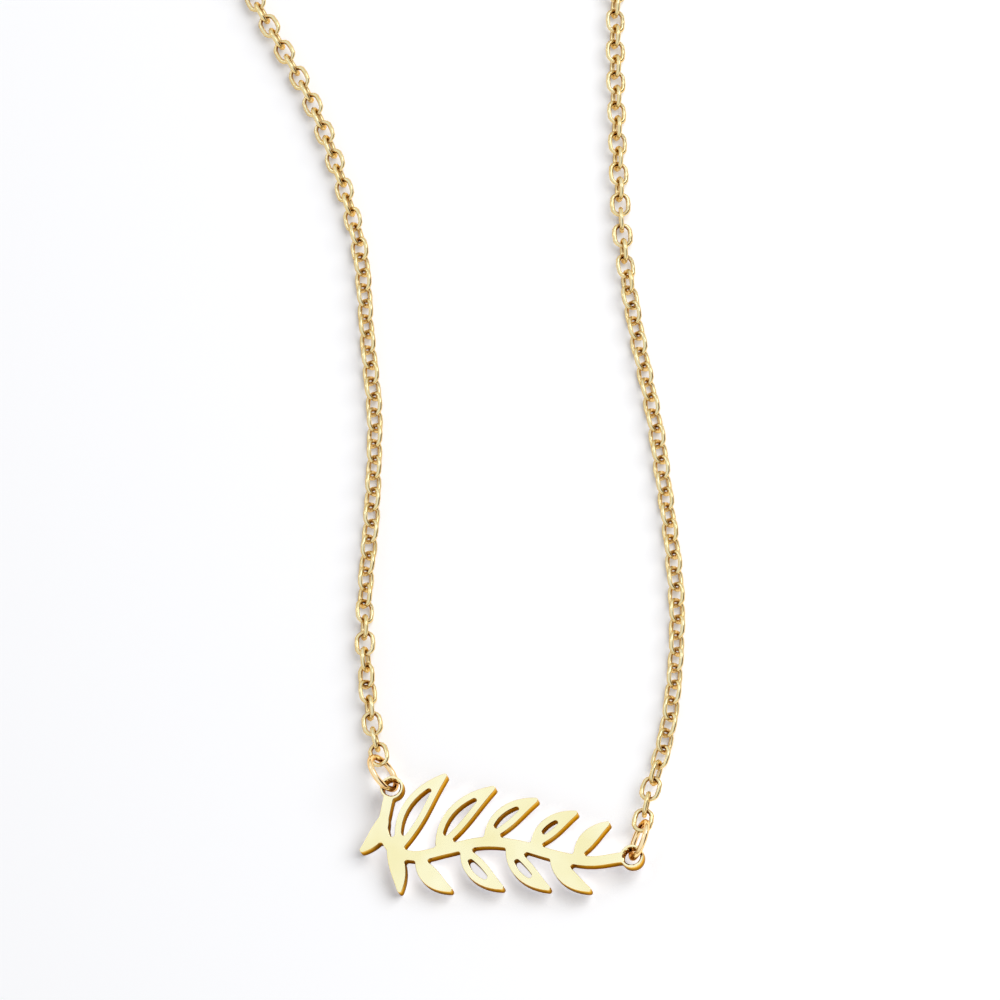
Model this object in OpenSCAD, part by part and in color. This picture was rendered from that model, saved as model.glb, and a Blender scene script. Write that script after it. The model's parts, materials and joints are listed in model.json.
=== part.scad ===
// Nameplate necklace laid out on a flat surface, in millimetres, with +Z up.
// The plate lies at the front with its face up. The surface is the plane z = 0.

/* [Plate] */
// Length of the plate, from its left curve to the end of its right eye
plate_w = 34.1; // [30:0.1:40]
// Height of the plate, from the lowest curve to the highest tip
plate_h = 14.6; // [13:0.1:17]
// Thickness of the plate
plate_t = 1.8; // [1.5:0.05:1.9]
// Width of the stem that carries the leaves
stem_w = 1.2; // [1:0.05:1.6]
// Width of a leaf of full size at its middle
leaf_w = 3.2; // [2.8:0.05:3.6]
// Width of the metal left round the opening of a pierced leaf
rim_w = 0.8; // [0.7:0.05:1]
// Radius that softens each inner corner of the outline
fillet_r = 0.3; // [0.1:0.05:0.5]
// Radius that rounds each tip of the outline
tip_r = 0.3; // [0.1:0.05:0.4]

/* [Eyes and jump rings] */
// Diameter of the hole in each eye of the plate
eye_hole_d = 2; // [1.9:0.05:2.3]
// Wall of metal round each eye hole
eye_wall = 0.4; // [0.35:0.05:0.6]
// Width of the bevel at both ends of an eye hole
eye_bevel = 0.15; // [0.1:0.05:0.25]
// Outer diameter of a jump ring
ring_d = 5.2; // [5:0.05:5.6]
// Wire of the jump rings
ring_wire = 0.7; // [0.6:0.01:0.75]

/* [Chain] */
// Length of the closed necklace, measured once round
necklace_len = 406; // [380:1:460]
// Outer length of a link
link_l = 3.33; // [3:0.01:3.8]
// Outer width of a link
link_w = 2.55; // [2.4:0.01:2.9]
// Wire of a link
link_wire = 0.56; // [0.45:0.01:0.6]
// Gap left between two wires that hold each other
slack = 0.13; // [0.1:0.01:0.16]

/* [Clasp] */
// Outer diameter of the round clasp
clasp_d = 6; // [5.5:0.1:7]
// Thickness of the clasp's ring
clasp_wire = 1.2; // [1:0.05:1.3]
// Outer diameter of the small eye soldered to the clasp
clasp_eye_d = 2.6; // [2.4:0.05:3]
// Wire of that eye
clasp_eye_wire = 0.6; // [0.5:0.05:0.65]
// Outer diameter of the ring that the clasp closes on
end_ring_d = 4.6; // [4.4:0.05:5.2]
// Wire of that ring
end_ring_wire = 0.75; // [0.6:0.01:0.8]

/* [Hidden] */
$fn = 48;

// Stem of the plate, from the left eye to the right eye: x and y as shares of its width and height
stem_x = 0;
stem_y = 1;
stem_route = [
    [0.104, 0.872],
    [0.090, 0.700],
    [0.084, 0.530],
    [0.118, 0.375],
    [0.200, 0.310],
    [0.310, 0.365],
    [0.430, 0.425],
    [0.552, 0.405],
    [0.675, 0.325],
    [0.805, 0.265],
    [0.930, 0.300]
];

// Leaves: place of the foot as a share of the stem, tip as shares of the width and height,
// width as a share of leaf_w, bend as a share of the leaf's own length, and 1 where it is pierced.
// The third one's tip is where the plate rests.
leaf_foot = 0;
leaf_tip_x = 1;
leaf_tip_y = 2;
leaf_width = 3;
leaf_bend = 4;
leaf_open = 5;
leaves = [
    [0.100, -0.006, 0.330, 0.60, 0.12, 0],
    [0.335, 0.310, 1.013, 0.98, 0.10, 1],
    [0.262, 0.150, -0.029, 0.60, 0.08, 0],
    [0.405, 0.345, 0.012, 0.68, -0.10, 0],
    [0.470, 0.485, 0.900, 0.92, 0.10, 1],
    [0.545, 0.525, 0.030, 0.80, -0.10, 1],
    [0.610, 0.635, 0.790, 0.82, 0.10, 1],
    [0.675, 0.690, 0.020, 0.76, -0.10, 1],
    [0.745, 0.775, 0.680, 0.74, 0.10, 1],
    [0.800, 0.835, 0.010, 0.62, -0.10, 0],
    [0.865, 0.890, 0.600, 0.60, 0.10, 0]
];

// number of straight pieces along one side of the stem, and along one side of a leaf
stem_steps = 48;
leaf_steps = 14;
outline_fn = 28;
// share of the stem, and of a leaf, over which its direction is taken
stem_look = 0.002;
leaf_look = 0.01;
// how far a cutting shape reaches past the plate
cut_past = 1;
// the two powers that shape a leaf's side: below one, leaf_forward moves its widest place towards
// the foot and leaf_full makes it rounder
leaf_forward = 0.85;
leaf_full = 0.9;

function mix(a, b, t) = a + (b - a) * t;
function unit(v) = v / norm(v);
function left_of(v) = [-v.y, v.x];

// point at share t of a smooth line through the points p
function through(p, t) =
    let (n = len(p) - 1, s = min(max(t, 0), 1) * n, i = min(floor(s), n - 1), u = s - i,
         a = i > 0 ? p[i - 1] : 2 * p[0] - p[1], b = p[i], c = p[i + 1],
         d = i < n - 1 ? p[i + 2] : 2 * p[n] - p[n - 1])
    b + u * ((c - a) / 2 + u * ((2 * a - 5 * b + 4 * c - d) / 2 + u * (3 * (b - c) + d - a) / 2));

function on_stem(t) =
    through([for (p = stem_route) [p[stem_x] * plate_w, p[stem_y] * plate_h]], t);
function stem_side(t) = left_of(unit(on_stem(t + stem_look) - on_stem(t - stem_look)));

module stem() {
    shares = [for (i = [0 : stem_steps]) i / stem_steps];
    polygon(concat(
        [for (t = shares) on_stem(t) + stem_side(t) * stem_w / 2],
        [for (i = [stem_steps : -1 : 0]) on_stem(shares[i]) - stem_side(shares[i]) * stem_w / 2]));
}

// point at share t of a leaf's bent middle line
function leaf_mid(foot, tip, bend, t) =
    mix(foot, tip, t) + left_of(tip - foot) * bend * 4 * t * (1 - t);

// outline of a leaf: pointed at both ends and widest a little before its middle
module leaf_shape(foot, tip, bend, width) {
    polygon([
        for (side = [1, -1], i = [0 : leaf_steps])
            let (u = side > 0 ? i / leaf_steps : 1 - i / leaf_steps,
                 along = unit(leaf_mid(foot, tip, bend, u + leaf_look)
                              - leaf_mid(foot, tip, bend, u - leaf_look)),
                 half = width / 2 * pow(max(sin(180 * pow(u, leaf_forward)), 0), leaf_full))
            leaf_mid(foot, tip, bend, u) + side * half * left_of(along)
    ]);
}

module leaf(row) {
    foot = on_stem(row[leaf_foot]);
    tip = [row[leaf_tip_x] * plate_w, row[leaf_tip_y] * plate_h];
    width = row[leaf_width] * leaf_w;
    difference() {
        leaf_shape(foot, tip, row[leaf_bend], width);
        if (row[leaf_open] == 1)
            offset(r = -rim_w) leaf_shape(foot, tip, row[leaf_bend], width);
    }
}

module eye_disc(centre) {
    translate(centre) circle(d = eye_hole_d + 2 * eye_wall);
}

module plate_outline() {
    $fn = outline_fn;
    offset(r = -fillet_r) offset(r = fillet_r + tip_r) offset(r = -tip_r) {
        stem();
        for (row = leaves) leaf(row);
        for (centre = eye_centres) eye_disc(centre);
    }
}

// centres of the two eye holes on the plate
eye_left_share = [0.1067, 0.884];
eye_right_share_y = 0.306;
eye_centres = [[eye_left_share.x * plate_w, eye_left_share.y * plate_h],
               [plate_w - eye_wall - eye_hole_d / 2, eye_right_share_y * plate_h]];

// Lie of the plate: its front curve rests on the surface, and each eye on the wire of its jump ring
plate_corner = [-14.22, -50.68];
plate_rest_share = 0.15;
plate_rest_x = plate_rest_share * plate_w;
eye_rise = 0.45;
eye_lift = ring_wire + eye_rise;
eye_left = eye_centres[0];
eye_right = eye_centres[1];
rest_det = (eye_left.x - plate_rest_x) * eye_right.y - (eye_right.x - plate_rest_x) * eye_left.y;
slope_x = eye_lift * (eye_right.y - eye_left.y) / rest_det;
slope_y = eye_lift * (eye_left.x - eye_right.x) / rest_det;
plate_tilt = atan(norm([slope_x, slope_y]));

// the plate's own coordinates turned to its lie on the surface
module lay_plate() {
    translate([plate_corner.x + plate_rest_x, plate_corner.y, 0])
        rotate(plate_tilt, [slope_y, -slope_x, 0])
            translate([-plate_rest_x, 0, 0]) children();
}

// middle of an eye hole, half way up the plate, where it lies
function eye_middle(centre) =
    let (along = centre - [plate_rest_x, 0],
         face = unit([-slope_x, -slope_y, 1]),
         foot = turned([along.x, along.y, 0], [slope_y, -slope_x, 0] / norm([slope_y, slope_x]), plate_tilt))
    [plate_corner.x + plate_rest_x, plate_corner.y, 0] + foot + face * plate_t / 2;

// vector v turned by an angle round a unit axis
function turned(v, axis, angle) =
    v * cos(angle) + cross(axis, v) * sin(angle) + axis * (axis * v) * (1 - cos(angle));

// A ring that stands at an angle to the surface: centre, heading of its level diameter and that angle.
// The angle is positive where its left side, seen along the heading, is up.
ring_centre = 0;
ring_heading = 1;
ring_stand = 2;

function heading(angle) = [cos(angle), sin(angle), 0];
function ring_up(ring) =
    let (s = sign(ring[ring_stand]), a = abs(ring[ring_stand]))
    [-sin(ring[ring_heading]) * s * cos(a), cos(ring[ring_heading]) * s * cos(a), sin(a)];
// point of a ring at radius r, turned down from the heading by the angle drop
function on_ring(ring, r, drop) =
    ring[ring_centre] + r * (cos(drop) * heading(ring[ring_heading]) - sin(drop) * ring_up(ring));

module place_ring(ring) {
    translate(ring[ring_centre])
        rotate([0, 0, ring[ring_heading]]) rotate([ring[ring_stand], 0, 0]) children();
}

module wire_ring(outer_d, wire) {
    rotate_extrude() translate([(outer_d - wire) / 2, 0]) circle(d = wire);
}

function resting_ring(at, heading_angle, stand, outer_d, wire) =
    [[at.x, at.y, (outer_d - wire) / 2 * sin(abs(stand)) + wire / 2], heading_angle, stand];

// Jump rings: way from the eye to the ring's centre, given by its heading and by what it has more than
// the ring's radius, and then the ring's own heading and stand, all chosen by eye
left_reach_ease = 0.01;
left_reach_angle = 122.7;
left_heading = 117;
left_stand = 61.9;
right_reach_ease = -0.02;
right_reach_angle = 71.5;
right_heading = 77;
right_stand = -65.1;
ring_r = (ring_d - ring_wire) / 2;

jump_left = resting_ring(eye_middle(eye_left) + (ring_r + left_reach_ease) * heading(left_reach_angle),
                         left_heading, left_stand, ring_d, ring_wire);
jump_right = resting_ring(eye_middle(eye_right) + (ring_r + right_reach_ease) * heading(right_reach_angle),
                          right_heading, right_stand, ring_d, ring_wire);

// Routes of the two strands, from the jump ring round to the clasp, chosen for a necklace of drawn_len
drawn_len = 406;
left_route = [
    [-12.7, -32.2], [-13.7, -28.8], [-14.8, -23.7], [-15.4, -18.6], [-15.8, -13.4],
    [-15.9, -8.3], [-15.7, -3.1], [-15.7, 2.2], [-15.8, 7.4], [-16.1, 12.7],
    [-16.9, 18.0], [-17.7, 23.3], [-18.3, 28.6], [-19.2, 34.0], [-20.8, 39.4],
    [-22.7, 44.8], [-24.9, 50.2], [-27.6, 55.7], [-30.9, 61.3], [-34.2, 67.0],
    [-37.7, 74.9], [-40.4, 84.8], [-41.4, 97.0], [-40.0, 107.8], [-35.8, 117.7],
    [-29.0, 125.5], [-19.8, 129.5]
];
right_route = [
    [19.4, -42.0], [20.1, -37.5], [21.1, -33.7], [22.0, -28.7], [22.4, -23.6],
    [22.5, -18.5], [22.3, -13.4], [21.7, -8.2], [20.9, -3.0], [20.0, 2.1],
    [19.1, 7.4], [18.0, 12.6], [16.7, 17.9], [15.5, 23.2], [14.4, 28.5],
    [13.6, 33.8], [13.0, 39.2], [12.5, 44.6], [12.1, 50.0], [11.7, 55.4],
    [11.4, 60.9], [11.2, 66.3], [11.3, 76.6], [11.8, 87.4], [11.7, 100.0],
    [10.0, 110.4], [5.8, 119.5], [-1.0, 126.5], [-11.1, 129.5]
];

// Twist of each strand: share of the strand from its jump ring, and the angle between the surface
// and the flat of its even links there
left_twist = [
    [0.00, -10], [0.022, 0], [0.077, 84], [0.084, 93], [0.110, 132], [0.13, 142],
    [0.36, 143], [0.41, 160], [0.60, 166], [1.00, 195]
];
right_twist = [
    [0.00, 4], [0.02, 4], [0.035, -15], [0.055, -36], [0.36, -38], [0.40, -64], [0.43, -84],
    [0.47, -62], [0.60, -62], [1.00, -90]
];
// slight unevenness of the twist, how it goes on from link to link, and how soon it sets in
twist_wobble = 3;
wobble_turn = 137;
wobble_fade = 20;
hidden_share = 0.6;

// Where the first and the last link of each strand hold what they hang on: how far round the ring from
// its level diameter, how much looser than the links hold each other, and how much higher the clasp's
// eye lies than the middle of a standing link
hook_drop = 22;
hook_ease = 0.05;
end_hook_ease = 0.14;
hook_rise = 0.15;

// Clasp: where its ring lies, seen on a necklace of drawn_len, and how its parts follow each other
clasp_at = [-15.6, 129.9];
clasp_r = (clasp_d - clasp_wire) / 2;
clasp_eye_r = (clasp_eye_d - clasp_eye_wire) / 2;
clasp_lap = 0.4;
clasp_eye_out = (clasp_d + clasp_eye_d) / 2 - clasp_lap;
clasp_ease = 0.25;
clasp_back_z = end_ring_wire + slack + clasp_wire / 2 + clasp_ease;
clasp_front_z = link_w / 2 + hook_rise;
clasp_tilt = asin((clasp_back_z - clasp_front_z) / (clasp_r + clasp_eye_out));
clasp_knob_d = 1;
clasp_knob_out = 0.9;

// the whole lies centred on the origin
lay = necklace_len / drawn_len;
reach_x = [for (p = concat(left_route, right_route)) p.x * lay];
reach_y = [for (p = concat(left_route, right_route)) p.y * lay];
centre_shift = [-(min(reach_x) + max(reach_x)) / 2,
                -(plate_corner.y + clasp_at.y * lay + clasp_d / 2 + clasp_knob_out + clasp_knob_d / 2) / 2,
                0];
clasp_centre = [clasp_at.x * lay, clasp_at.y * lay, clasp_back_z - clasp_r * sin(clasp_tilt)];
clasp_right_hook = clasp_centre + [
    (clasp_eye_out + clasp_eye_r - clasp_eye_wire / 2 - slack / 2 - hook_ease) * cos(clasp_tilt), 0,
    -(clasp_eye_out + clasp_eye_r) * sin(clasp_tilt)];

end_ring_stand = 75;
end_ring_heading = 185;
end_ring_in = 0.45;
end_ring_r = (end_ring_d - end_ring_wire) / 2;
end_ring_lay = resting_ring(
    clasp_centre - [clasp_r + end_ring_r - clasp_wire / 2 - end_ring_wire / 2 - end_ring_in, 0, 0],
    end_ring_heading, end_ring_stand, end_ring_d, end_ring_wire);

ring_hook_r = (ring_d - slack) / 2 - ring_wire - hook_ease;
end_hook_r = (end_ring_d - slack) / 2 - end_ring_wire - end_hook_ease;
left_start = on_ring(jump_left, ring_hook_r, hook_drop);
right_start = on_ring(jump_right, ring_hook_r, hook_drop);
left_end = on_ring(end_ring_lay, end_hook_r, hook_drop);

pitch = link_l - 2 * link_wire - slack;
route_cuts = 5;
lift_fade = 0.5;

// points along a route, drawn so that it runs from start to finish
function route_line(route, start, finish) =
    let (n = len(route) - 1, a = flat(start) - route[0] * lay, b = flat(finish) - route[n] * lay,
         p = [for (i = [0 : n]) route[i] * lay + mix(a, b, i / n)])
    [for (i = [0 : n * route_cuts]) through(p, i / (n * route_cuts))];
function flat(v) = [v.x, v.y];
function run_lengths(p, i = 1, done = [0]) =
    i == len(p) ? done : run_lengths(p, i + 1, concat(done, done[i - 1] + norm(p[i] - p[i - 1])));
function at_length(p, runs, s) =
    [lookup(s, [for (i = [0 : len(p) - 1]) [runs[i], p[i].x]]),
     lookup(s, [for (i = [0 : len(p) - 1]) [runs[i], p[i].y]])];
// roll of link k: the strand's twist, a quarter turn on every second link, a slight unevenness, and
// on the hidden stretch the quarter turn that an even number of links needs to meet the clasp squarely
function twist_at(twist, k, count) =
    let (t = k / (count - 1), hidden = max(0, (t - hidden_share) / (1 - hidden_share)))
    lookup(t, twist) + twist_wobble * min(1, wobble_fade * t * (1 - t)) * sin(k * wobble_turn)
    + 90 * ((count - 1) % 2) * hidden;
function rest_height(roll) =
    (link_w - link_wire) / 2 * max(abs(sin(roll)), abs(cos(roll))) + link_wire / 2;

// places where the links of a strand hold each other, from its start to its finish
function hooks(route, twist, start, finish) =
    let (p = route_line(route, start, finish), runs = run_lengths(p), total = runs[len(p) - 1],
         count = round(total / pitch))
    [for (k = [0 : count])
        let (at = at_length(p, runs, total * k / count))
        let (rest = max(rest_height(twist_at(twist, k - 1, count)), rest_height(twist_at(twist, k, count))),
             up = max((start.z - rest) * pow(lift_fade, k),
                      (finish.z - rest) * pow(lift_fade, count - k), 0))
        k == 0 ? start : k == count ? finish : [at.x, at.y, rest + up]];

left_hooks = hooks(left_route, left_twist, left_start, left_end);
right_hooks = hooks(right_route, right_twist, right_start, clasp_right_hook);

// what is cut from the plate for an eye hole, bevelled at both ends
module eye_bore() {
    bore_r = eye_hole_d / 2;
    mouth_r = bore_r + eye_bevel + cut_past;
    rotate_extrude()
        polygon([[0, -cut_past], [mouth_r, -cut_past], [bore_r, eye_bevel], [bore_r, plate_t - eye_bevel],
                 [mouth_r, plate_t + cut_past], [0, plate_t + cut_past]]);
}

module nameplate() {
    color("gold")
    translate(centre_shift) lay_plate()
    difference() {
        linear_extrude(plate_t) plate_outline();
        for (centre = eye_centres) translate(centre) eye_bore();
    }
}

module jump_ring_left() {
    color("gold")
    translate(centre_shift) place_ring(jump_left) wire_ring(ring_d, ring_wire);
}

module jump_ring_right() {
    color("gold")
    translate(centre_shift) place_ring(jump_right) wire_ring(ring_d, ring_wire);
}

// one oval link, flat on the plane z = 0 with its length along X
module link() {
    straight = link_l - link_w;
    bend_r = (link_w - link_wire) / 2;
    for (side = [0, 180])
        rotate([0, 0, side]) {
            translate([straight / 2, 0, 0])
                rotate([0, 0, -90]) rotate_extrude(angle = 180) translate([bend_r, 0]) circle(d = link_wire);
            translate([-straight / 2, bend_r, 0]) rotate([0, 90, 0]) cylinder(d = link_wire, h = straight);
        }
}

module strand(hook_list, twist) {
    count = len(hook_list) - 1;
    for (k = [0 : count - 1]) {
        from = hook_list[k];
        way = hook_list[k + 1] - from;
        roll = twist_at(twist, k, count) + (k % 2) * 90;
        translate(from + way / 2)
            rotate([roll, -asin(way.z / norm(way)), atan2(way.y, way.x)]) link();
    }
}

module chain_left() {
    color("gold")
    translate(centre_shift) strand(left_hooks, left_twist);
}

module chain_right() {
    color("gold")
    translate(centre_shift) strand(right_hooks, right_twist);
}

// closed ring with a small soldered eye for the chain and a thumb knob, made as one piece
module clasp() {
    color("gold")
    translate(centre_shift) translate(clasp_centre) rotate([0, clasp_tilt, 0]) {
        wire_ring(clasp_d, clasp_wire);
        translate([clasp_eye_out, 0, 0]) wire_ring(clasp_eye_d, clasp_eye_wire);
        translate([0, clasp_r, 0])
            rotate([-90, 0, 0]) cylinder(d = clasp_knob_d, h = clasp_wire / 2 + clasp_knob_out);
        translate([0, clasp_r + clasp_wire / 2 + clasp_knob_out, 0]) sphere(d = clasp_knob_d);
    }
}

module end_ring() {
    color("gold")
    translate(centre_shift) place_ring(end_ring_lay) wire_ring(end_ring_d, end_ring_wire);
}

nameplate();
jump_ring_left();
jump_ring_right();
chain_left();
chain_right();
clasp();
end_ring();
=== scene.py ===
import json
import math

import bpy
import numpy as np
from mathutils import Matrix, Vector

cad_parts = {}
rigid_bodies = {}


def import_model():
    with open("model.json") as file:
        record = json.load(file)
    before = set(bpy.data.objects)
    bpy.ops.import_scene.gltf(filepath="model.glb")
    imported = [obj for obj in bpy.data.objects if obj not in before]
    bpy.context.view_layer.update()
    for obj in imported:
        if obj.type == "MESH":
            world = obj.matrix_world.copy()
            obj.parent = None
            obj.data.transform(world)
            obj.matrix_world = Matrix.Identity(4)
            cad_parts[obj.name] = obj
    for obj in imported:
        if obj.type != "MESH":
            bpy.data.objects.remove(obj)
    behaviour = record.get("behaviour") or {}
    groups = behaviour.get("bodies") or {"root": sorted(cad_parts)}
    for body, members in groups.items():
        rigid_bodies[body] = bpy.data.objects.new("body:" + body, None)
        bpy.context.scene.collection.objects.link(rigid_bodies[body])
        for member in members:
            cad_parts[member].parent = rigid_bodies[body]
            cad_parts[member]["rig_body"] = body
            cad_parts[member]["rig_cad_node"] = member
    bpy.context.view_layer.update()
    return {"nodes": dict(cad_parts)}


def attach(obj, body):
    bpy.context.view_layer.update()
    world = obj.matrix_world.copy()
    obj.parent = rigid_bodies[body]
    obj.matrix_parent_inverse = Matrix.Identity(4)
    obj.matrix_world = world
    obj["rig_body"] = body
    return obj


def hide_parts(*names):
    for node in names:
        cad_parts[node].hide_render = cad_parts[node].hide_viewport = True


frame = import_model()
nodes = frame["nodes"]
scene = bpy.context.scene
mm = 0.001

shot = {
    "target": (9.45, -41.81, 0.0),  # mm, the middle of the picture on the surface
    "azimuth": 20.0,
    "elevation": 66.5,
    "distance": 900.0,  # mm
    "lens": 268.515,  # mm
    "sensor": 36,  # mm wide
    "nearest": 0.01,  # m, where the view begins
}


def makeCamera():
    az, el = math.radians(shot["azimuth"]), math.radians(shot["elevation"])
    back = Vector((math.sin(az) * math.cos(el), -math.cos(az) * math.cos(el), math.sin(el)))
    up = back.cross(Vector((1, 0, 0))).normalized()  # the plate's long side stays level
    right = up.cross(back)
    data = bpy.data.cameras.new("camera")
    data.lens = shot["lens"]
    data.sensor_width = shot["sensor"]
    data.clip_start = shot["nearest"]
    camera = bpy.data.objects.new("camera", data)
    scene.collection.objects.link(camera)
    turn = Matrix((right, up, back)).transposed().to_4x4()
    place = Vector(shot["target"]) * mm + back * shot["distance"] * mm
    camera.matrix_world = Matrix.Translation(place) @ turn
    scene.camera = camera


makeCamera()
print("camera placed")


def opaque(colour):
    return (*colour, 1.0)


def newTree(name):
    material = bpy.data.materials.new(name)
    material.use_nodes = True
    material.node_tree.nodes.clear()
    return material, material.node_tree


def addNode(tree, kind, **settings):
    node = tree.nodes.new(kind)
    for key, value in settings.items():
        setattr(node, key, value)
    return node


# each named input takes another node's output or a fixed value
def feed(tree, node, values):
    for name, value in values.items():
        if isinstance(value, bpy.types.NodeSocket):
            tree.links.new(value, node.inputs[name])
        else:
            node.inputs[name].default_value = value
    return node


# runs from low at the first value of the source to 1 at its last
def stretched(tree, source, first, last, low=0.0, **settings):
    node = addNode(tree, "ShaderNodeMapRange", **settings)
    feed(tree, node, {"Value": source, "From Min": first, "From Max": last, "To Min": low})
    return node.outputs["Result"]


def calculated(tree, operation, *values):
    node = addNode(tree, "ShaderNodeMath", operation=operation)
    feed(tree, node, dict(enumerate(values)))
    return node.outputs["Value"]


def blended(tree, factor, first, second, **settings):
    node = addNode(tree, "ShaderNodeMix", data_type="RGBA", **settings)
    feed(tree, node, {"Factor": factor, "A": first, "B": second})
    return node.outputs["Result"]


def ramp(tree, stops, source):
    node = tree.nodes.new("ShaderNodeValToRGB")
    band = node.color_ramp
    while len(band.elements) < len(stops):
        band.elements.new(0.5)
    for element, (place, colour) in zip(band.elements, stops):
        element.position = place
        element.color = opaque(colour)
    tree.links.new(source, node.inputs["Fac"])
    return node.outputs["Color"]


def groupSockets(group, inputs, outputs):
    for name, kind, value in inputs:
        socket = group.interface.new_socket(name, in_out="INPUT", socket_type=kind)
        socket.default_value = value
    for name, kind in outputs:
        group.interface.new_socket(name, in_out="OUTPUT", socket_type=kind)
    return group.nodes.new("NodeGroupInput").outputs, group.nodes.new("NodeGroupOutput")


plating = {
    "driftDetail": 3,
    "driftBand": (0.35, 0.65),  # the part of the noise that the drift of tone runs over
    "looks": 6,  # how often the metal looks around for something near
    "shutBand": (0.8, 0.25),  # open share where a place begins to be shut in, and where it is wholly
    "stages": (("ShadeAmber", 0.0, 0.55), ("ShadeDeep", 0.5, 1.0)),  # painted shade, first orange-brown, then nearly black
}


# the tone of the plating: it drifts a little over the metal, and painted shade darkens it where pieces meet
# and inside each piece
def toneAndPaintedShadeGroup():
    group = bpy.data.node_groups.new("toneAndPaintedShade", "ShaderNodeTree")
    given, end = groupSockets(
        group,
        [("Bright", "NodeSocketColor", (1, 0.85, 0.5, 1)), ("Warm", "NodeSocketColor", (1, 0.75, 0.4, 1)),
         ("ShadeAmber", "NodeSocketColor", (0.6, 0.3, 0.1, 1)), ("ShadeDeep", "NodeSocketColor", (0.2, 0.1, 0.02, 1)),
         ("Drift", "NodeSocketFloat", 300.0),
         ("Reach", "NodeSocketFloat", 0.0004), ("Inner Reach", "NodeSocketFloat", 0.001),
         ("ShadeStrength", "NodeSocketFloat", 0.8)],
        [("Color", "NodeSocketColor")])
    place = addNode(group, "ShaderNodeTexCoord").outputs["Object"]
    noise = addNode(group, "ShaderNodeTexNoise")
    feed(group, noise, {"Detail": plating["driftDetail"], "Vector": place, "Scale": given["Drift"]})
    drift = stretched(group, noise.outputs["Fac"], *plating["driftBand"])
    colour = blended(group, drift, given["Bright"], given["Warm"])
    # painted shade: how shut in a place is, near anything and inside itself
    shut = []
    for reach, itself in (("Reach", False), ("Inner Reach", True)):  # close to anything, inside itself
        near = addNode(group, "ShaderNodeAmbientOcclusion", samples=plating["looks"], only_local=itself)
        feed(group, near, {"Distance": given[reach]})
        shut.append(stretched(group, near.outputs["AO"], *plating["shutBand"]))
    shadedeep = calculated(group, "MULTIPLY", calculated(group, "MAXIMUM", *shut), given["ShadeStrength"])
    for name, first, last in plating["stages"]:
        colour = blended(group, stretched(group, shadedeep, first, last), colour, given[name])
    feed(group, end, {"Color": colour})
    return group


polishing = {
    "lineDetail": 4,
    "waveDetail": 1,
    "lineHeight": 0.05,  # how high the lines stand, where each finish says it for the waves
}


# polishing marks: fine drawn lines along one way, over soft waves
def polishGroup():
    group = bpy.data.node_groups.new("polish", "ShaderNodeTree")
    given, end = groupSockets(
        group,
        [("Stretch", "NodeSocketVector", (1.0, 12.0, 1.0)), ("Turn", "NodeSocketVector", (0.0, 0.0, 0.0)),
         ("Lines", "NodeSocketFloat", 900.0), ("Waves", "NodeSocketFloat", 250.0),
         ("Wave Depth", "NodeSocketFloat", 0.3), ("Rough", "NodeSocketFloat", 0.12),
         ("Spread", "NodeSocketFloat", 0.08)],
        [("Height", "NodeSocketFloat"), ("Roughness", "NodeSocketFloat")])
    place = addNode(group, "ShaderNodeTexCoord").outputs["Object"]
    drawn = addNode(group, "ShaderNodeMapping")
    feed(group, drawn, {"Vector": place, "Scale": given["Stretch"], "Rotation": given["Turn"]})
    lines = addNode(group, "ShaderNodeTexNoise")
    feed(group, lines, {"Detail": polishing["lineDetail"], "Vector": drawn.outputs["Vector"],
                        "Scale": given["Lines"]})
    waves = addNode(group, "ShaderNodeTexNoise")
    feed(group, waves, {"Detail": polishing["waveDetail"], "Vector": place, "Scale": given["Waves"]})
    swell = calculated(group, "MULTIPLY", waves.outputs["Fac"], given["Wave Depth"])
    fine = calculated(group, "MULTIPLY", lines.outputs["Fac"], polishing["lineHeight"])
    patch = calculated(group, "MULTIPLY", lines.outputs["Fac"], given["Spread"])
    feed(group, end, {"Height": calculated(group, "ADD", swell, fine),
                      "Roughness": calculated(group, "ADD", patch, given["Rough"])})
    return group


toneAndPaintedShade = toneAndPaintedShadeGroup()
polish = polishGroup()


# the cut sides are less polished (rougher) than the face, and painted shade makes them darker than the
# face, most of all low down
def roughSidesPaintedShade(tree, finish, lie, colour, roughness):
    up, foot = lie
    shape = addNode(tree, "ShaderNodeTexCoord")
    apart = addNode(tree, "ShaderNodeSeparateXYZ")
    feed(tree, apart, {"Vector": shape.outputs["Normal"]})
    side = stretched(tree, apart.outputs["Z"], *finish["sideBand"])
    level = addNode(tree, "ShaderNodeVectorMath", operation="DOT_PRODUCT")
    feed(tree, level, {0: shape.outputs["Object"], 1: up})
    rise = stretched(tree, level.outputs["Value"], foot, foot + finish["wallRise"] * mm)
    # painted shade: darker sides, nearly black at the foot, for the shaded floor they mirror
    sideShade = ramp(tree, [(finish["footEnds"], finish["footShade"]), (1.0, finish["sideShade"])], rise)
    return (blended(tree, side, colour, sideShade, blend_type="MULTIPLY"),
            calculated(tree, "MULTIPLY_ADD", side, finish["wallRough"], roughness))


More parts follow.
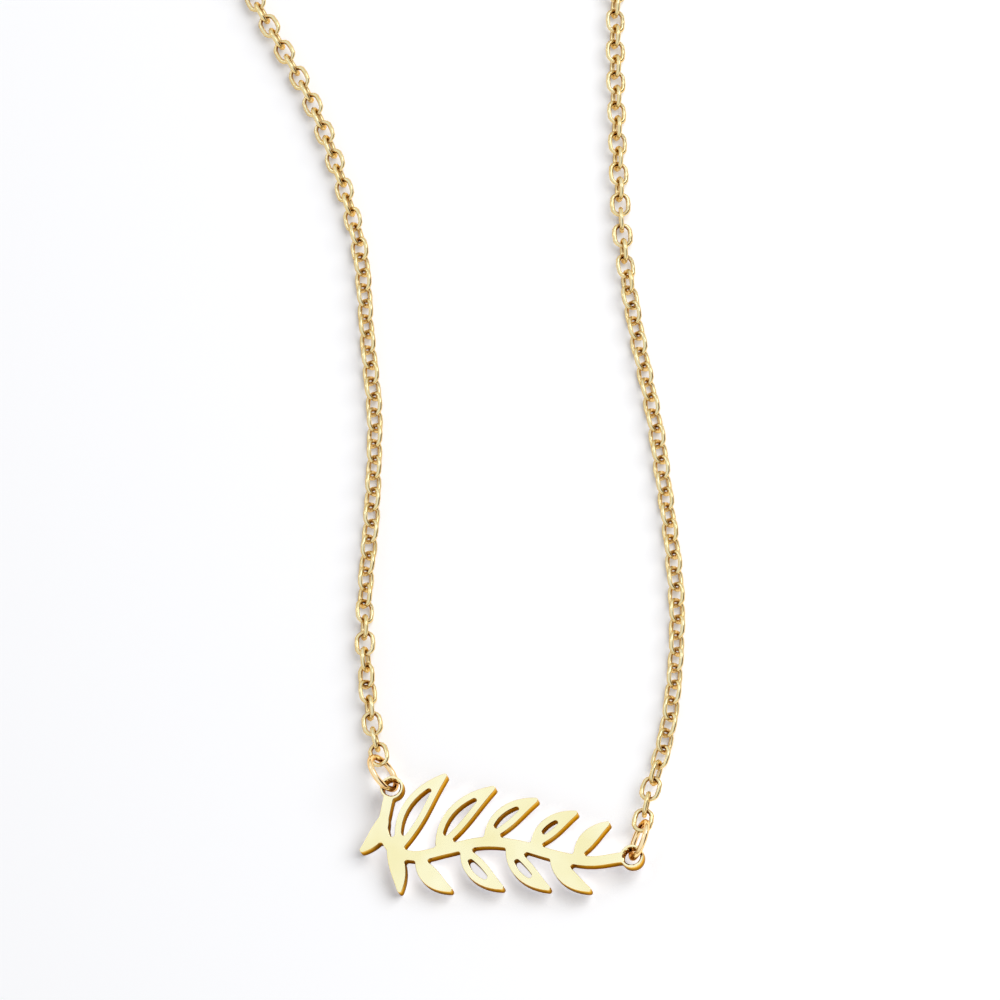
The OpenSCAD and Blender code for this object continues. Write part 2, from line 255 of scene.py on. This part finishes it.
def goldMaterial(name, finish, lie=None):
    material, tree = newTree(name)
    output = addNode(tree, "ShaderNodeOutputMaterial")
    metal = addNode(tree, "ShaderNodeBsdfPrincipled")
    # the plating's tone, with painted shade where pieces meet
    tone = addNode(tree, "ShaderNodeGroup", node_tree=toneAndPaintedShade)
    feed(tree, tone, {key: opaque(finish[key.lower()]) for key in ("Bright", "Warm", "ShadeAmber", "ShadeDeep")})
    feed(tree, tone, {"Drift": finish["drift"], "Reach": finish["reach"] * mm,
                      "Inner Reach": finish["innerReach"] * mm, "ShadeStrength": finish["shadeStrength"]})
    marks = addNode(tree, "ShaderNodeGroup", node_tree=polish)
    feed(tree, marks, {"Stretch": finish["stretch"], "Turn": finish["turn"], "Lines": finish["lines"],
                       "Waves": finish["waves"], "Wave Depth": finish["waveDepth"],
                       "Rough": finish["rough"], "Spread": finish["spread"]})
    bump = addNode(tree, "ShaderNodeBump")
    feed(tree, bump, {"Strength": finish["bump"], "Distance": finish["depth"] * mm,
                      "Height": marks.outputs["Height"]})
    colour, roughness = tone.outputs["Color"], marks.outputs["Roughness"]
    if lie:
        colour, roughness = roughSidesPaintedShade(tree, finish, lie, colour, roughness)
    feed(tree, metal, {"Metallic": 1.0, "Specular Tint": opaque(finish["rim"]), "Roughness": roughness,
                       "Base Color": colour, "Normal": bump.outputs["Normal"]})
    feed(tree, output, {"Surface": metal.outputs["BSDF"]})
    return material


def deselectAll():
    if bpy.context.object and bpy.context.object.mode != "OBJECT":
        bpy.ops.object.mode_set(mode="OBJECT")
    bpy.ops.object.select_all(action="DESELECT")


def takeUp(piece):
    deselectAll()
    piece.select_set(True)
    bpy.context.view_layer.objects.active = piece


def openMesh(action):
    bpy.ops.object.mode_set(mode="EDIT")
    bpy.ops.mesh.select_all(action=action)


def closeMesh():
    bpy.ops.object.mode_set(mode="OBJECT")


# a free copy of a CAD node: its loose triangles are merged, and with an angle also its flat places
def dressedCopy(node, weld, sameFace=0.0):
    copy = nodes[node].copy()
    copy.data = nodes[node].data.copy()
    copy.parent = None
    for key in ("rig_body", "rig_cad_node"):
        del copy[key]
    scene.collection.objects.link(copy)
    takeUp(copy)
    openMesh("SELECT")
    bpy.ops.mesh.remove_doubles(threshold=weld)
    if sameFace:
        bpy.ops.mesh.dissolve_limited(angle_limit=sameFace)
    closeMesh()
    return copy


def finishPiece(piece, name, material, node):
    piece.name = name
    piece.data.name = name
    piece.data.materials.clear()
    piece.data.materials.append(material)
    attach(piece, "root")
    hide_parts(node)


samePoint = 2e-7  # m, corners of a node's triangles this near each other are one point
momentShare = 12  # divides a triangle's area times the squares of its corners and their sum


# where each loose solid of a node lies: its middle, its long way and its flat side
def loosePoses(node):
    mesh = nodes[node].data
    corners = np.zeros(len(mesh.vertices) * 3)
    mesh.vertices.foreach_get("co", corners)
    corners = corners.reshape(-1, 3)
    mesh.calc_loop_triangles()
    triangles = np.zeros(len(mesh.loop_triangles) * 3, int)
    mesh.loop_triangles.foreach_get("vertices", triangles)
    triangles = triangles.reshape(-1, 3)
    _, same = np.unique(np.round(corners / samePoint).astype(np.int64), axis=0, return_inverse=True)
    same = same.reshape(-1)
    owner = np.arange(same.max() + 1)
    edges = np.vstack([same[triangles[:, [0, 1]]], same[triangles[:, [1, 2]]]])
    while True:  # each point takes the lowest number that it is joined to
        low = np.minimum(owner[edges[:, 0]], owner[edges[:, 1]])
        before = owner.copy()
        np.minimum.at(owner, edges[:, 0], low)
        np.minimum.at(owner, edges[:, 1], low)
        owner = owner[owner]
        if (owner == before).all():
            break
    part = owner[same[triangles[:, 0]]]
    poses = []
    for label in np.unique(part):
        a, b, c = (corners[triangles[part == label][:, i]] for i in range(3))
        area = np.linalg.norm(np.cross(b - a, c - a), axis=1)[:, None] / 2
        middle = (area * (a + b + c) / 3).sum(0) / area.sum()
        a, b, c = a - middle, b - middle, c - middle
        total = a + b + c
        spread = sum((area * v).T @ v for v in (a, b, c, total)) / momentShare
        axes = np.linalg.eigh(spread)[1]
        along, flat = Vector(axes[:, 2]), Vector(axes[:, 0])
        turn = Matrix((along, flat.cross(along), flat)).transposed().to_4x4()
        poses.append(Matrix.Translation(Vector(middle)) @ turn)
    return poses


def joined(parts):
    takeUp(parts[0])
    for piece in parts:
        piece.select_set(True)
    bpy.ops.object.join()
    return bpy.context.object


plateLook = {
    "weld": 0.02, "sameFace": 0.3,  # mm and degrees, what is merged before the edge is broken
    "edge": 0.08, "edgeSteps": 2, "edgeFrom": 50.0,  # mm, width of the broken edge; degrees
    "smoothTo": 40.0,  # degrees
    "faceWeight": 80,
    "faceLevel": 0.9,  # faces that look up more than this give the plate's own up
    "bright": (1.0, 0.975, 0.69), "warm": (0.94, 0.88, 0.52),
    # painted shade: the two dark tones below darken the plate where pieces meet and in its openings
    "shadeamber": (0.80, 0.56, 0.24), "shadedeep": (0.30, 0.13, 0.03), "rim": (0.80, 0.52, 0.20),
    "drift": 120.0, "reach": 1.3, "innerReach": 1.3, "shadeStrength": 0.85,
    "stretch": (1.0, 14.0, 1.0), "turn": (0.0, 0.0, 0.35), "lines": 700.0,
    "waves": 120.0, "waveDepth": 1.0, "rough": 0.09, "spread": 0.07, "bump": 0.12, "depth": 0.05,
    "sideBand": (0.75, 0.25),  # how far a place looks up where the sides begin, and where they are full
    # painted shade: the sides' tone and the near black at their foot stand for the shaded floor they mirror
    "sideShade": (0.90, 0.71, 0.39), "footShade": (0.17, 0.062, 0.012), "wallRough": 0.06,
    "wallRise": 1.8, "footEnds": 0.2,  # mm, height of the change, and the share that is all foot
}


def makePlate():
    plate = dressedCopy("nameplate", plateLook["weld"] * mm, math.radians(plateLook["sameFace"]))
    bevel = plate.modifiers.new("edge", "BEVEL")
    bevel.width = plateLook["edge"] * mm
    bevel.segments = plateLook["edgeSteps"]
    bevel.limit_method = "ANGLE"
    bevel.angle_limit = math.radians(plateLook["edgeFrom"])
    bevel.use_clamp_overlap = False
    bpy.ops.object.modifier_apply(modifier="edge")
    bpy.ops.object.shade_smooth_by_angle(angle=math.radians(plateLook["smoothTo"]))
    flat = plate.modifiers.new("flat", "WEIGHTED_NORMAL")  # the face stays level up to its edge
    flat.keep_sharp = True
    flat.weight = plateLook["faceWeight"]
    bpy.ops.object.modifier_apply(modifier="flat")
    up = Vector()
    for face in plate.data.polygons:
        if face.normal.z > plateLook["faceLevel"]:
            up += face.normal * face.area
    up.normalize()
    foot = min(up.dot(v.co) for v in plate.data.vertices)
    plateGold = goldMaterial("plateGold", plateLook, (up, foot))
    finishPiece(plate, "ornamentPlate", plateGold, "nameplate")


makePlate()
print("plate dressed")

linkShape = {"length": 3.33, "width": 2.55, "wire": 0.56, "round": 16, "wireSides": 6}  # mm
offCentre = 1e-6  # m, points nearer the middle than this belong to neither half of a link
chainLook = {
    "bright": (0.79, 0.72, 0.465), "warm": (0.79, 0.68, 0.38),
    # painted shade: the two dark tones below darken the links where they meet and on their inner sides
    "shadeamber": (0.55, 0.26, 0.035), "shadedeep": (0.04, 0.010, 0.001), "rim": (0.90, 0.67, 0.31),
    "drift": 420.0, "reach": 0.3, "innerReach": 1.2, "shadeStrength": 0.97,
    "stretch": (1.0, 1.0, 6.0), "turn": (0.0, 0.0, 0.0), "lines": 1500.0,
    "waves": 500.0, "waveDepth": 0.6, "rough": 0.10, "spread": 0.05, "bump": 0.08, "depth": 0.05,
}


def makeLink():
    deselectAll()
    bend = (linkShape["width"] - linkShape["wire"]) / 2 * mm
    bpy.ops.mesh.primitive_torus_add(
        major_radius=bend, minor_radius=linkShape["wire"] / 2 * mm,
        major_segments=linkShape["round"], minor_segments=linkShape["wireSides"])
    oneLink = bpy.context.object
    straight = (linkShape["length"] - linkShape["width"]) / 2 * mm
    for side in (1, -1):  # both halves are drawn apart, which leaves the straight sides
        openMesh("DESELECT")
        closeMesh()
        for v in oneLink.data.vertices:
            v.select = v.co.x * side > offCentre
        bpy.ops.object.mode_set(mode="EDIT")
        bpy.ops.transform.translate(value=(straight * side, 0, 0))
    closeMesh()
    bpy.ops.object.shade_smooth()
    return oneLink


def makeStrand(node, name, material):
    oneLink = makeLink()
    copies = []
    for pose in loosePoses(node):
        copy = bpy.data.objects.new("link", oneLink.data.copy())
        copy.data.transform(pose)
        scene.collection.objects.link(copy)
        copies.append(copy)
    bpy.data.objects.remove(oneLink)
    strand = joined(copies)
    finishPiece(strand, name, material, node)
    print(name, "has", len(copies), "links")


chainGold = goldMaterial("chainGold", chainLook)
makeStrand("chain_left", "chainLeft", chainGold)
makeStrand("chain_right", "chainRight", chainGold)

ringLook = {
    "wireSides": 18, "steps": 60,
    "smoothTo": 40.0,  # degrees
    "bright": (0.95, 0.80, 0.52), "warm": (0.92, 0.72, 0.43),
    # painted shade: the two dark tones below darken the rings and clasp where they meet other pieces
    "shadeamber": (0.38, 0.13, 0.03), "shadedeep": (0.04, 0.009, 0.002), "rim": (0.75, 0.45, 0.16),
    "drift": 300.0, "reach": 0.4, "innerReach": 0.6, "shadeStrength": 0.9,
    "stretch": (1.0, 1.0, 5.0), "turn": (0.0, 0.0, 0.0), "lines": 1300.0,
    "waves": 400.0, "waveDepth": 0.6, "rough": 0.05, "spread": 0.04, "bump": 0.04, "depth": 0.05,
}
jumpRing = {"outer": 5.2, "wire": 0.7, "seam": 0.9, "seamAt": 150.0}  # mm, degrees
endRing = {"outer": 4.6, "wire": 0.75, "seam": 0.9, "seamAt": 90.0}


def makeRing(node, name, shape, material):
    deselectAll()
    reach = (shape["outer"] - shape["wire"]) / 2 * mm
    bpy.ops.mesh.primitive_circle_add(
        vertices=ringLook["wireSides"], radius=shape["wire"] / 2 * mm,
        location=(reach, 0, 0), rotation=(math.pi / 2, 0, 0))
    ring = bpy.context.object
    bpy.ops.object.transform_apply(location=True, rotation=True, scale=True)
    openMesh("SELECT")
    bpy.ops.mesh.spin(steps=ringLook["steps"], angle=math.radians(360 - shape["seam"]),
                      center=(0, 0, 0), axis=(0, 0, 1))
    closeMesh()
    openMesh("DESELECT")
    bpy.ops.mesh.select_non_manifold()
    bpy.ops.mesh.edge_face_add()  # closes both cut ends
    bpy.ops.mesh.select_all(action="SELECT")
    bpy.ops.mesh.normals_make_consistent(inside=False)
    closeMesh()
    bpy.ops.object.shade_smooth_by_angle(angle=math.radians(ringLook["smoothTo"]))
    turn = Matrix.Rotation(math.radians(shape["seamAt"]), 4, "Z")
    ring.data.transform(loosePoses(node)[0] @ turn)
    finishPiece(ring, name, material, node)


ringGold = goldMaterial("ringGold", ringLook)
makeRing("jump_ring_left", "jumpRingLeft", jumpRing, ringGold)
makeRing("jump_ring_right", "jumpRingRight", jumpRing, ringGold)
makeRing("end_ring", "endRing", endRing, ringGold)
print("rings made")

claspShape = {"weld": 0.001, "smoothTo": 40.0}  # mm, degrees


def makeClasp():
    clasp = dressedCopy("clasp", claspShape["weld"] * mm)
    bpy.ops.object.shade_smooth_by_angle(angle=math.radians(claspShape["smoothTo"]))
    finishPiece(clasp, "roundClasp", ringGold, "clasp")


makeClasp()
print("clasp dressed")

studio = {
    "floorSize": 6, "floorDrop": 0.00001,  # m, how wide it is and how far under the metal
    "floorShown": 0.92,  # how pale the floor is where it is seen
    "floorLift": (0.040, 0.044, 0.050),  # soft glow that opens up its shade
    "floorGlow": (0.74, 0.74, 0.76),  # and as much more where metal closes it in
    "glowReach": 4.0,  # mm
    "glowLooks": 4,
    "glowBand": (0.72, 0.25),  # open share where that glow begins, and where it is full
    "glowByChain": 0.12,  # share of that glow beside the chains, where the metal is thin
    "plateEnd": (-73.0, -79.0),  # mm, where the chains' share ends and the plate's begins
    "floorInMetal": (1.0, 0.92, 0.76),  # its tone in the reflections
    "liftInMetal": (0.20, 0.13, 0.05),  # and the glow that opens up its shade there
    "sky": (0.445, 0.445, 0.46),
    "key": {"way": (0.55, 0.22, 0.80), "far": 0.7, "size": 0.75, "power": 4.85},
    # seen in the metal: a room that is brown low down and pale above, by height
    "room": [(0.0, (0.40, 0.24, 0.10)), (0.12, (0.58, 0.42, 0.24)), (0.26, (0.90, 0.80, 0.63)),
             (0.45, (0.96, 0.94, 0.90)), (1.0, (1.0, 1.0, 1.0))],
    # two soft boxes and a dark card: way, half width of the core and of the whole in degrees, and the
    # strength of a box or the tone of the card
    "softBox": ((0.50, 0.50, 0.70), 7.0, 13.0, 2.6),
    "leftBox": ((-0.66, 0.38, 0.62), 4.0, 8.0, 2.0),
    "darkCard": ((0.94, -0.10, 0.24), 30.0, 37.0, (0.10, 0.035, 0.008)),
}


def added(tree, first, second):
    node = addNode(tree, "ShaderNodeAddShader")
    feed(tree, node, {0: first, 1: second})
    return node.outputs["Shader"]


# one shader where the camera sees it and another one where the metal mirrors it
def seenOrMirrored(tree, seen, mirrored):
    path = addNode(tree, "ShaderNodeLightPath")
    node = addNode(tree, "ShaderNodeMixShader")
    feed(tree, node, {"Fac": path.outputs["Is Glossy Ray"], 1: seen, 2: mirrored})
    return node.outputs["Shader"]


def diffuse(tree, colour):
    return feed(tree, addNode(tree, "ShaderNodeBsdfDiffuse"), {"Color": colour}).outputs["BSDF"]


def glowing(tree, colour):
    return feed(tree, addNode(tree, "ShaderNodeEmission"), {"Color": colour}).outputs["Emission"]


# the glow that opens up the floor's shade, stronger under the plate than beside the chains
def floorGlow(tree):
    around = addNode(tree, "ShaderNodeAmbientOcclusion", samples=studio["glowLooks"])
    feed(tree, around, {"Distance": studio["glowReach"] * mm})
    closed = stretched(tree, around.outputs["AO"], *studio["glowBand"])
    spot = addNode(tree, "ShaderNodeTexCoord")
    place = addNode(tree, "ShaderNodeSeparateXYZ")
    feed(tree, place, {"Vector": spot.outputs["Object"]})
    first, last = (value * mm for value in studio["plateEnd"])
    share = stretched(tree, place.outputs["Y"], first, last, studio["glowByChain"],
                      interpolation_type="SMOOTHSTEP")
    most = [a + b for a, b in zip(studio["floorLift"], studio["floorGlow"])]
    part = calculated(tree, "MULTIPLY", closed, share)
    return blended(tree, part, opaque(studio["floorLift"]), opaque(most))


def makeFloor():
    deselectAll()
    bpy.ops.mesh.primitive_plane_add(size=studio["floorSize"], location=(0, 0, -studio["floorDrop"]))
    floor = bpy.context.object
    floor.name = "floor"
    material, tree = newTree("paleFloor")
    output = addNode(tree, "ShaderNodeOutputMaterial")
    seen = added(tree, diffuse(tree, opaque((studio["floorShown"],) * 3)), glowing(tree, floorGlow(tree)))
    mirrored = added(tree, diffuse(tree, opaque(studio["floorInMetal"])),
                     glowing(tree, opaque(studio["liftInMetal"])))
    feed(tree, output, {"Surface": seenOrMirrored(tree, seen, mirrored)})
    floor.data.materials.append(material)


# how much a way of looking falls inside a round panel
def panel(tree, looking, shape):
    way, core, whole, _ = shape
    meet = addNode(tree, "ShaderNodeVectorMath", operation="DOT_PRODUCT")
    feed(tree, meet, {0: looking, 1: Vector(way).normalized()})
    rim, middle = math.cos(math.radians(whole)), math.cos(math.radians(core))
    return stretched(tree, meet.outputs["Value"], rim, middle, interpolation_type="SMOOTHSTEP")


def makeSurroundings():
    world = bpy.data.worlds.new("studio")
    scene.world = world
    world.use_nodes = True
    tree = world.node_tree
    tree.nodes.clear()
    output = addNode(tree, "ShaderNodeOutputWorld")
    looking = addNode(tree, "ShaderNodeTexCoord").outputs["Generated"]
    apart = addNode(tree, "ShaderNodeSeparateXYZ")
    feed(tree, apart, {"Vector": looking})
    room = ramp(tree, studio["room"], apart.outputs["Z"])
    card = blended(tree, panel(tree, looking, studio["darkCard"]), room, opaque(studio["darkCard"][3]))
    boxes = [calculated(tree, "MULTIPLY", panel(tree, looking, studio[name]), studio[name][3])
             for name in ("softBox", "leftBox")]
    lit = addNode(tree, "ShaderNodeVectorMath", operation="ADD")
    feed(tree, lit, {0: card, 1: calculated(tree, "ADD", *boxes)})
    inMetal = feed(tree, addNode(tree, "ShaderNodeBackground"), {"Color": lit.outputs["Vector"]})
    plain = feed(tree, addNode(tree, "ShaderNodeBackground"), {"Color": opaque(studio["sky"])})
    both = seenOrMirrored(tree, plain.outputs["Background"], inMetal.outputs["Background"])
    feed(tree, output, {"Surface": both})


def makeLamp(name, lamp):
    data = bpy.data.lights.new(name, "AREA")
    data.shape = "DISK"
    data.size = lamp["size"]
    data.energy = lamp["power"]
    light = bpy.data.objects.new(name, data)
    scene.collection.objects.link(light)
    way = Vector(lamp["way"]).normalized()
    light.location = Vector(shot["target"]) * mm + way * lamp["far"]
    light.rotation_euler = way.to_track_quat("Z", "Y").to_euler()
    light.visible_glossy = False  # the metal shows the soft boxes of the surroundings instead


makeFloor()
makeSurroundings()
makeLamp("keyLight", studio["key"])
scene.view_settings.view_transform = "Standard"
scene.view_settings.look = "None"
scene.view_settings.exposure = 0.0
print("studio ready")
